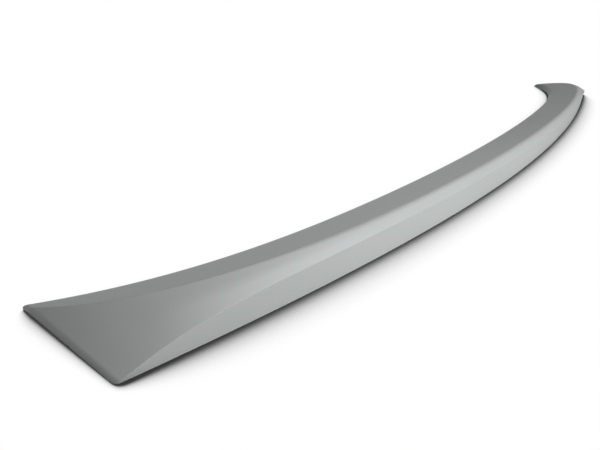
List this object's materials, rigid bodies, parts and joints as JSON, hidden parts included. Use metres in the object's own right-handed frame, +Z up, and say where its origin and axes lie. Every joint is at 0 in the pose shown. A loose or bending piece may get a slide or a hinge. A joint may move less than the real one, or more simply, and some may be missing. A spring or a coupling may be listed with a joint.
{
  "type": "boot lid spoiler",
  "caption": "Bowed lip spoiler that bonds along the rear edge of a car's boot lid: a thin grey moulded shell with a raised crest, a creased rear face and flared ends.",
  "frame": {"origin": "middle of the spoiler's footprint, on the surface that its rear rim stands on", "axes": "+X across the car, from its left end to its right end, +Y forward, from the rear face to the front edge, +Z up"},
  "size_m": [1.2108, 0.1771, 0.0349],
  "materials": {
    "primer": "satin grey primer"
  },
  "bodies": {
    "root": {"spoiler": "primer"}
  },
  "joints": []
}
